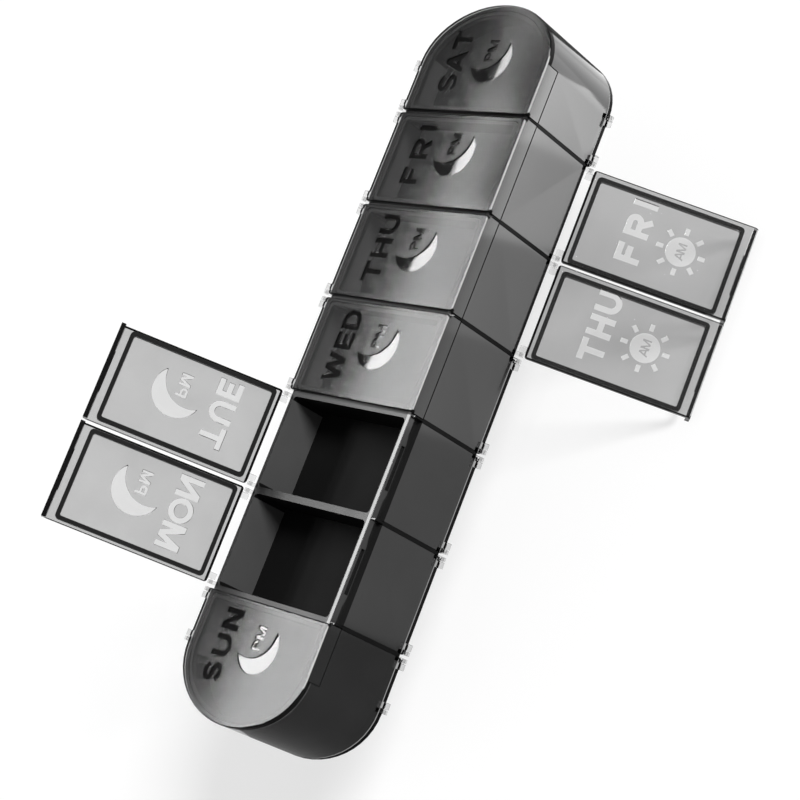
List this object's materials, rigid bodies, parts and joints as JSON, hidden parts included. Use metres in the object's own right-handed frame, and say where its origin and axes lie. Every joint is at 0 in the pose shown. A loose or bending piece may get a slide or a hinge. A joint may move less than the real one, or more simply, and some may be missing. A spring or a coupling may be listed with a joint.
{
  "type": "weekly pill box",
  "caption": "Two-sided morning and evening pill box for a week, a long round-ended case with a hinged snap lid on each compartment.",
  "frame": {"origin": "middle of the closed morning lid of the middle day, on its outer face, which is the face that the box lies on", "axes": "+Y along the week from Sunday to Saturday, +Z out of the evening face, +X towards the side where the evening lids snap shut"},
  "size_m": [0.1246, 0.2204, 0.1074],
  "materials": {
    "case_plastic": "polished smoke-black see-through plastic",
    "lid_plastic": "smoke-black see-through plastic, fine frosted grain with polished letters",
    "seal_rubber": "soft black rubber"
  },
  "bodies": {
    "case": {"case": "case_plastic"},
    "pm_sun": {"pm_lid_sun": "lid_plastic", "pm_seal_sun": "seal_rubber"},
    "pm_mon": {"pm_lid_mon": "lid_plastic", "pm_seal_mon": "seal_rubber"},
    "pm_tue": {"pm_lid_tue": "lid_plastic", "pm_seal_tue": "seal_rubber"},
    "pm_wed": {"pm_lid_wed": "lid_plastic", "pm_seal_wed": "seal_rubber"},
    "pm_thu": {"pm_lid_thu": "lid_plastic", "pm_seal_thu": "seal_rubber"},
    "pm_fri": {"pm_lid_fri": "lid_plastic", "pm_seal_fri": "seal_rubber"},
    "pm_sat": {"pm_lid_sat": "lid_plastic", "pm_seal_sat": "seal_rubber"},
    "am_sun": {"am_lid_sun": "lid_plastic", "am_seal_sun": "seal_rubber"},
    "am_mon": {"am_lid_mon": "lid_plastic", "am_seal_mon": "seal_rubber"},
    "am_tue": {"am_lid_tue": "lid_plastic", "am_seal_tue": "seal_rubber"},
    "am_wed": {"am_lid_wed": "lid_plastic", "am_seal_wed": "seal_rubber"},
    "am_thu": {"am_lid_thu": "lid_plastic", "am_seal_thu": "seal_rubber"},
    "am_fri": {"am_lid_fri": "lid_plastic", "am_seal_fri": "seal_rubber"},
    "am_sat": {"am_lid_sat": "lid_plastic", "am_seal_sat": "seal_rubber"}
  },
  "joints": [
    {"name": "pm_sun_hinge", "type": "hinge", "parent": "case", "child": "pm_sun", "pos_m": [-0.02595, -0.08325, 0.0311], "axis": [0, -1, 0], "range_deg": [0, 140]},
    {"name": "pm_mon_hinge", "type": "hinge", "parent": "case", "child": "pm_mon", "pos_m": [-0.02595, -0.06, 0.0311], "axis": [0, -1, 0], "range_deg": [-130, 10]},
    {"name": "pm_tue_hinge", "type": "hinge", "parent": "case", "child": "pm_tue", "pos_m": [-0.02595, -0.03, 0.0311], "axis": [0, -1, 0], "range_deg": [-130, 10]},
    {"name": "pm_wed_hinge", "type": "hinge", "parent": "case", "child": "pm_wed", "pos_m": [-0.02595, 0, 0.0311], "axis": [0, -1, 0], "range_deg": [0, 140]},
    {"name": "pm_thu_hinge", "type": "hinge", "parent": "case", "child": "pm_thu", "pos_m": [-0.02595, 0.03, 0.0311], "axis": [0, -1, 0], "range_deg": [0, 140]},
    {"name": "pm_fri_hinge", "type": "hinge", "parent": "case", "child": "pm_fri", "pos_m": [-0.02595, 0.06, 0.0311], "axis": [0, -1, 0], "range_deg": [0, 140]},
    {"name": "pm_sat_hinge", "type": "hinge", "parent": "case", "child": "pm_sat", "pos_m": [-0.02595, 0.08325, 0.0311], "axis": [0, -1, 0], "range_deg": [0, 140]},
    {"name": "am_sun_hinge", "type": "hinge", "parent": "case", "child": "am_sun", "pos_m": [0.02595, -0.08325, 0.0009], "axis": [0, -1, 0], "range_deg": [0, 140]},
    {"name": "am_mon_hinge", "type": "hinge", "parent": "case", "child": "am_mon", "pos_m": [0.02595, -0.06, 0.0009], "axis": [0, -1, 0], "range_deg": [0, 140]},
    {"name": "am_tue_hinge", "type": "hinge", "parent": "case", "child": "am_tue", "pos_m": [0.02595, -0.03, 0.0009], "axis": [0, -1, 0], "range_deg": [0, 140]},
    {"name": "am_wed_hinge", "type": "hinge", "parent": "case", "child": "am_wed", "pos_m": [0.02595, 0, 0.0009], "axis": [0, -1, 0], "range_deg": [0, 140]},
    {"name": "am_thu_hinge", "type": "hinge", "parent": "case", "child": "am_thu", "pos_m": [0.02595, 0.03, 0.0009], "axis": [0, -1, 0], "range_deg": [-140, 0]},
    {"name": "am_fri_hinge", "type": "hinge", "parent": "case", "child": "am_fri", "pos_m": [0.02595, 0.06, 0.0009], "axis": [0, -1, 0], "range_deg": [-140, 0]},
    {"name": "am_sat_hinge", "type": "hinge", "parent": "case", "child": "am_sat", "pos_m": [0.02595, 0.08325, 0.0009], "axis": [0, -1, 0], "range_deg": [0, 140]}
  ]
}
